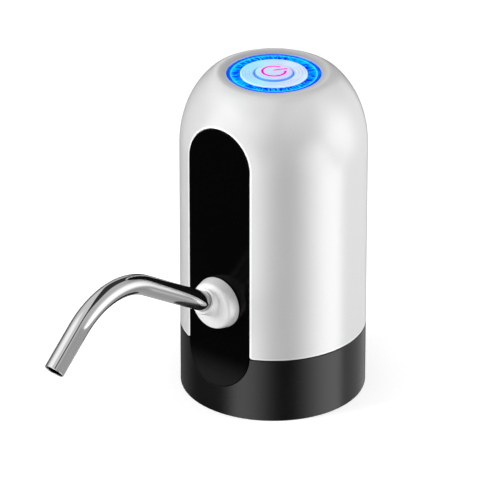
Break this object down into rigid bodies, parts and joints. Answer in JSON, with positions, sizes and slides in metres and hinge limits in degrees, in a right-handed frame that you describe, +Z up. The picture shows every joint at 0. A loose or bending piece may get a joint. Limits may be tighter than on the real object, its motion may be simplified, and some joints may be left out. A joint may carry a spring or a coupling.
{
  "type": "bottled water pump",
  "caption": "Rechargeable pump for the neck of a large water bottle, with a domed body, a lit top button and a bent steel spout that turns and pulls out.",
  "frame": {"origin": "on the ground plane of the base's lower rim, under the middle of the bounding box", "axes": "+Z up along the body's axis, which stands at y = 0.0497; -Y is the front, where the spout points; +X is to the right of someone who looks along +Y at the front"},
  "size_m": [0.075, 0.1744, 0.137],
  "materials": {
    "shell": "gloss",
    "base": "satin",
    "panel": "gloss",
    "white_plastic": "gloss",
    "rubber": "matte",
    "gasket": "matte",
    "tube": "satin",
    "spout_steel": "polished",
    "steel": "satin",
    "copper": "satin",
    "magnet": "matte",
    "foam": "matte",
    "natural": "satin",
    "dark_plastic": "satin",
    "board": "satin",
    "cell": "satin",
    "light_ring": "gloss",
    "lens": "gloss",
    "lamp": "satin",
    "wire_red": "satin",
    "wire_black": "satin"
  },
  "bodies": {
    "root": {"outer_shell": "shell", "base_skirt": "base", "front_panel": "panel", "neck_grip_ring": "rubber", "inlet_nipple": "white_plastic", "nipple_gasket": "gasket", "inlet_tube": "tube", "outlet_tube": "tube", "outlet_socket": "natural", "pump_head": "dark_plastic", "valve_plate": "natural", "pump_diaphragm": "rubber", "pump_housing": "dark_plastic", "pump_screw_1": "steel", "pump_screw_2": "steel", "pump_screw_3": "steel", "motor_can": "steel", "front_bush": "copper", "rear_bush": "copper", "magnet_left": "magnet", "magnet_right": "magnet", "motor_end_cap": "dark_plastic", "motor_terminal_left": "copper", "motor_terminal_right": "copper", "motor_sleeve": "foam", "inner_frame": "natural", "frame_screw_1": "steel", "frame_screw_2": "steel", "frame_screw_3": "steel", "battery_cell": "cell", "main_board": "board", "charging_socket": "steel", "control_chip": "dark_plastic", "light_ring": "light_ring", "top_lens": "lens", "light_carrier": "white_plastic", "button_board": "board", "tact_switch": "dark_plastic", "ring_led_1": "lamp", "ring_led_2": "lamp", "ring_led_3": "lamp", "carrier_screw_1": "steel", "carrier_screw_2": "steel", "carrier_screw_3": "steel", "battery_wire": "wire_red", "motor_wire_left": "wire_black", "motor_wire_right": "wire_red", "button_cable": "wire_red"},
    "button": {"power_button": "lens"},
    "plunger": {"tact_plunger": "dark_plastic"},
    "spigot_ring": {"spout_seal": "rubber"},
    "spout": {"spout_collar": "white_plastic", "spout_pipe": "spout_steel"},
    "rotor": {"motor_shaft": "steel", "armature": "copper", "commutator": "copper", "eccentric": "natural", "drive_pin": "steel"},
    "wobbler": {"wobble_plate": "natural"}
  },
  "joints": [
    {"name": "button_press", "type": "slide", "parent": "root", "child": "button", "axis": [0, 0, -1], "range_m": [0, 0.0006], "stiffness_N_per_m": 2500, "springref_m": -0.0002},
    {"name": "tact_press", "type": "slide", "parent": "root", "child": "plunger", "axis": [0, 0, -1], "range_m": [0, 0.00035]},
    {"name": "spout_pull", "type": "slide", "parent": "root", "child": "spigot_ring", "axis": [0, -1, 0], "range_m": [0, 0.012]},
    {"name": "spout_swivel", "type": "hinge", "parent": "spigot_ring", "child": "spout", "pos_m": [0, 0.01502, 0.0483], "axis": [0, -1, 0], "continuous": true},
    {"name": "motor_spin", "type": "hinge", "parent": "root", "child": "rotor", "pos_m": [0, 0.05572, 0.0917], "axis": [0, 0, 1], "continuous": true},
    {"name": "wobble_spin", "type": "hinge", "parent": "rotor", "child": "wobbler", "pos_m": [0, 0.05572, 0.0624], "axis": [0.1219, 0, 0.9925], "continuous": true}
  ],
  "couplings": [
    {"joint": "tact_press", "follows": "button_press", "ratio": 0.583},
    {"joint": "wobble_spin", "follows": "motor_spin", "ratio": -1}
  ]
}
